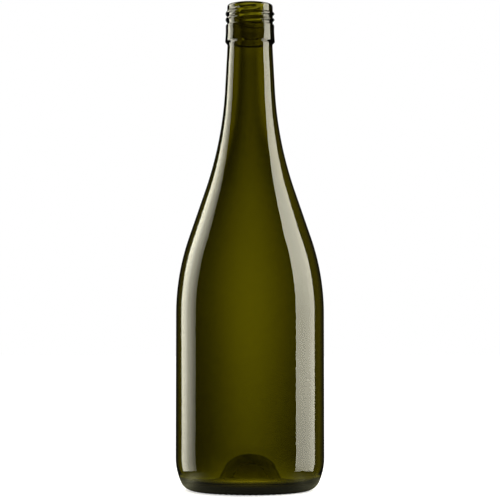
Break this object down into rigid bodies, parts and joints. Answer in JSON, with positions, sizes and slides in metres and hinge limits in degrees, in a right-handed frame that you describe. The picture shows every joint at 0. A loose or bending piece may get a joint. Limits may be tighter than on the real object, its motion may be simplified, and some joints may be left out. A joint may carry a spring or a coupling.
{
  "type": "burgundy wine bottle",
  "caption": "Empty green glass wine bottle with sloping shoulders, a punted base and a screw finish.",
  "frame": {"origin": "centre of the standing ring, on the plane that the bottle stands on", "axes": "+Z along the bottle's axis, up towards the mouth; -Y is the front"},
  "size_m": [0.0868, 0.0868, 0.286],
  "materials": {
    "green_glass": "gloss"
  },
  "bodies": {
    "root": {"bottle": "green_glass"}
  },
  "joints": []
}
